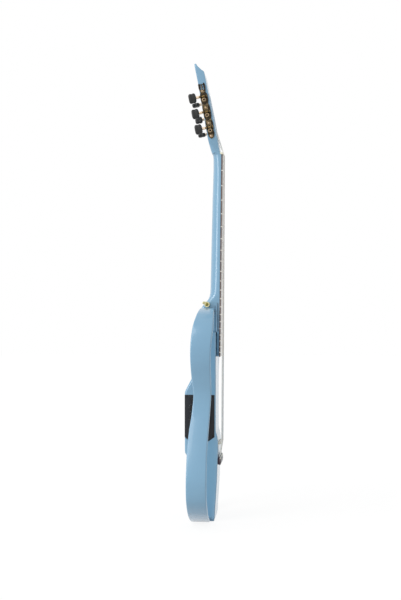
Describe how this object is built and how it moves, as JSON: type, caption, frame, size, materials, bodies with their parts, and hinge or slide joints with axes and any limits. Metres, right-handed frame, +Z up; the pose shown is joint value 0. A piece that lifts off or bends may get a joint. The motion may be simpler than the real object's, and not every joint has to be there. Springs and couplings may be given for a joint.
{
  "type": "silent guitar",
  "caption": "Full-scale nylon-string silent guitar: slim solid body with a side control panel, slotted headstock with worm tuners, and two thin bent side frames.",
  "frame": {"origin": "below the middle of the guitar's width and depth, level with the lowest edge of the body and side frames", "axes": "+Z up along the neck towards the headstock, +X out of the front where the strings are, +Y to the treble side"},
  "size_m": [0.0861, 0.366, 1.0253],
  "materials": {
    "blue_paint": "pale blue gloss lacquer over wood",
    "rosewood": "oiled dark wood",
    "bone": "polished cream bone",
    "steel": "plain steel",
    "jack_metal": "nickel-plated sockets",
    "old_gold": "darkened brass",
    "brass": "polished brass",
    "black_plastic": "black gloss plastic",
    "panel_plastic": "fine-grained black plastic",
    "white_plastic": "white plastic barrels",
    "nylon": "clear nylon",
    "silver_wire": "silver-plated winding",
    "board_green": "green circuit board",
    "cell_jacket": "plain grey cell jacket",
    "pickup_film": "copper film"
  },
  "bodies": {
    "root": {"neck": "blue_paint", "headstock": "blue_paint", "fingerboard": "rosewood", "nut": "bone", "truss_rod": "steel", "body_core": "blue_paint", "saddle": "bone", "tie_block": "rosewood", "piezo_pickup": "pickup_film", "frame_treble": "blue_paint", "heel_strap_button": "brass", "tail_strap_button": "brass", "frame_screw_bass": "brass", "frame_screw_treble": "brass", "control_panel": "panel_plastic", "headphone_jack": "jack_metal", "aux_in_jack": "jack_metal", "line_out_jack": "jack_metal", "dc_in_jack": "jack_metal", "circuit_board": "board_green", "battery_cell_1": "cell_jacket", "battery_cell_2": "cell_jacket", "battery_contacts": "steel", "string_1": "nylon", "string_2": "nylon", "string_3": "nylon", "string_4": "silver_wire", "string_5": "silver_wire", "string_6": "silver_wire", "tuner_plate_bass": "old_gold", "tuner_plate_treble": "old_gold"},
    "bass_frame": {"frame_bass": "blue_paint"},
    "battery_cover": {"battery_door": "panel_plastic"},
    "volume": {"volume_knob": "black_plastic"},
    "effect": {"effect_knob": "black_plastic"},
    "bass": {"bass_knob": "black_plastic"},
    "treble": {"treble_knob": "black_plastic"},
    "power": {"power_button": "black_plastic"},
    "effect_select": {"effect_switch": "black_plastic"},
    "worm_1": {"tuner_worm_1": "old_gold", "tuner_button_1": "black_plastic"},
    "worm_2": {"tuner_worm_2": "old_gold", "tuner_button_2": "black_plastic"},
    "worm_3": {"tuner_worm_3": "old_gold", "tuner_button_3": "black_plastic"},
    "worm_4": {"tuner_worm_4": "old_gold", "tuner_button_4": "black_plastic"},
    "worm_5": {"tuner_worm_5": "old_gold", "tuner_button_5": "black_plastic"},
    "worm_6": {"tuner_worm_6": "old_gold", "tuner_button_6": "black_plastic"},
    "roller_1": {"tuner_roller_1": "white_plastic"},
    "roller_2": {"tuner_roller_2": "white_plastic"},
    "roller_3": {"tuner_roller_3": "white_plastic"},
    "roller_4": {"tuner_roller_4": "white_plastic"},
    "roller_5": {"tuner_roller_5": "white_plastic"},
    "roller_6": {"tuner_roller_6": "white_plastic"}
  },
  "joints": [
    {"name": "bass_frame_slide", "type": "slide", "parent": "root", "child": "bass_frame", "axis": [0, -1, 0], "range_m": [0, 0.2]},
    {"name": "battery_door_slide", "type": "slide", "parent": "root", "child": "battery_cover", "axis": [-1, 0, 0], "range_m": [0, 0.05]},
    {"name": "volume_turn", "type": "hinge", "parent": "root", "child": "volume", "pos_m": [-0.024, -0.047, 0.2525], "axis": [0, 1, 0], "range_deg": [0, 280]},
    {"name": "effect_turn", "type": "hinge", "parent": "root", "child": "effect", "pos_m": [0.002, -0.047, 0.2525], "axis": [0, 1, 0], "range_deg": [0, 280]},
    {"name": "bass_turn", "type": "hinge", "parent": "root", "child": "bass", "pos_m": [-0.024, -0.047, 0.2295], "axis": [0, 1, 0], "range_deg": [0, 280]},
    {"name": "treble_turn", "type": "hinge", "parent": "root", "child": "treble", "pos_m": [0.002, -0.047, 0.2295], "axis": [0, 1, 0], "range_deg": [0, 280]},
    {"name": "power_push", "type": "slide", "parent": "root", "child": "power", "axis": [0, 1, 0], "range_m": [0, 0.0015], "stiffness_N_per_m": 300},
    {"name": "effect_slide", "type": "slide", "parent": "root", "child": "effect_select", "axis": [1, 0, 0], "range_m": [-0.002, 0.002]},
    {"name": "worm_1_turn", "type": "hinge", "parent": "root", "child": "worm_1", "pos_m": [0.01266, 0.04175, 0.88075], "axis": [-0.9806, 0, -0.1959], "continuous": true},
    {"name": "worm_2_turn", "type": "hinge", "parent": "root", "child": "worm_2", "pos_m": [0.00574, 0.04175, 0.91537], "axis": [-0.9806, 0, -0.1959], "continuous": true},
    {"name": "worm_3_turn", "type": "hinge", "parent": "root", "child": "worm_3", "pos_m": [-0.00117, 0.04175, 0.94998], "axis": [-0.9806, 0, -0.1959], "continuous": true},
    {"name": "worm_4_turn", "type": "hinge", "parent": "root", "child": "worm_4", "pos_m": [-0.00117, -0.04175, 0.94998], "axis": [-0.9806, 0, -0.1959], "continuous": true},
    {"name": "worm_5_turn", "type": "hinge", "parent": "root", "child": "worm_5", "pos_m": [0.00574, -0.04175, 0.91537], "axis": [-0.9806, 0, -0.1959], "continuous": true},
    {"name": "worm_6_turn", "type": "hinge", "parent": "root", "child": "worm_6", "pos_m": [0.01266, -0.04175, 0.88075], "axis": [-0.9806, 0, -0.1959], "continuous": true},
    {"name": "roller_1_turn", "type": "hinge", "parent": "root", "child": "roller_1", "pos_m": [0.01419, 0, 0.8731], "axis": [0, 1, 0], "continuous": true},
    {"name": "roller_2_turn", "type": "hinge", "parent": "root", "child": "roller_2", "pos_m": [0.00727, 0, 0.90772], "axis": [0, 1, 0], "continuous": true},
    {"name": "roller_3_turn", "type": "hinge", "parent": "root", "child": "roller_3", "pos_m": [0.00036, 0, 0.94233], "axis": [0, 1, 0], "continuous": true},
    {"name": "roller_4_turn", "type": "hinge", "parent": "root", "child": "roller_4", "pos_m": [0.00036, 0, 0.94233], "axis": [0, 1, 0], "continuous": true},
    {"name": "roller_5_turn", "type": "hinge", "parent": "root", "child": "roller_5", "pos_m": [0.00727, 0, 0.90772], "axis": [0, 1, 0], "continuous": true},
    {"name": "roller_6_turn", "type": "hinge", "parent": "root", "child": "roller_6", "pos_m": [0.01419, 0, 0.8731], "axis": [0, 1, 0], "continuous": true}
  ],
  "couplings": [
    {"joint": "roller_1_turn", "follows": "worm_1_turn", "ratio": 0.071429},
    {"joint": "roller_2_turn", "follows": "worm_2_turn", "ratio": 0.071429},
    {"joint": "roller_3_turn", "follows": "worm_3_turn", "ratio": 0.071429},
    {"joint": "roller_4_turn", "follows": "worm_4_turn", "ratio": 0.071429},
    {"joint": "roller_5_turn", "follows": "worm_5_turn", "ratio": 0.071429},
    {"joint": "roller_6_turn", "follows": "worm_6_turn", "ratio": 0.071429}
  ]
}
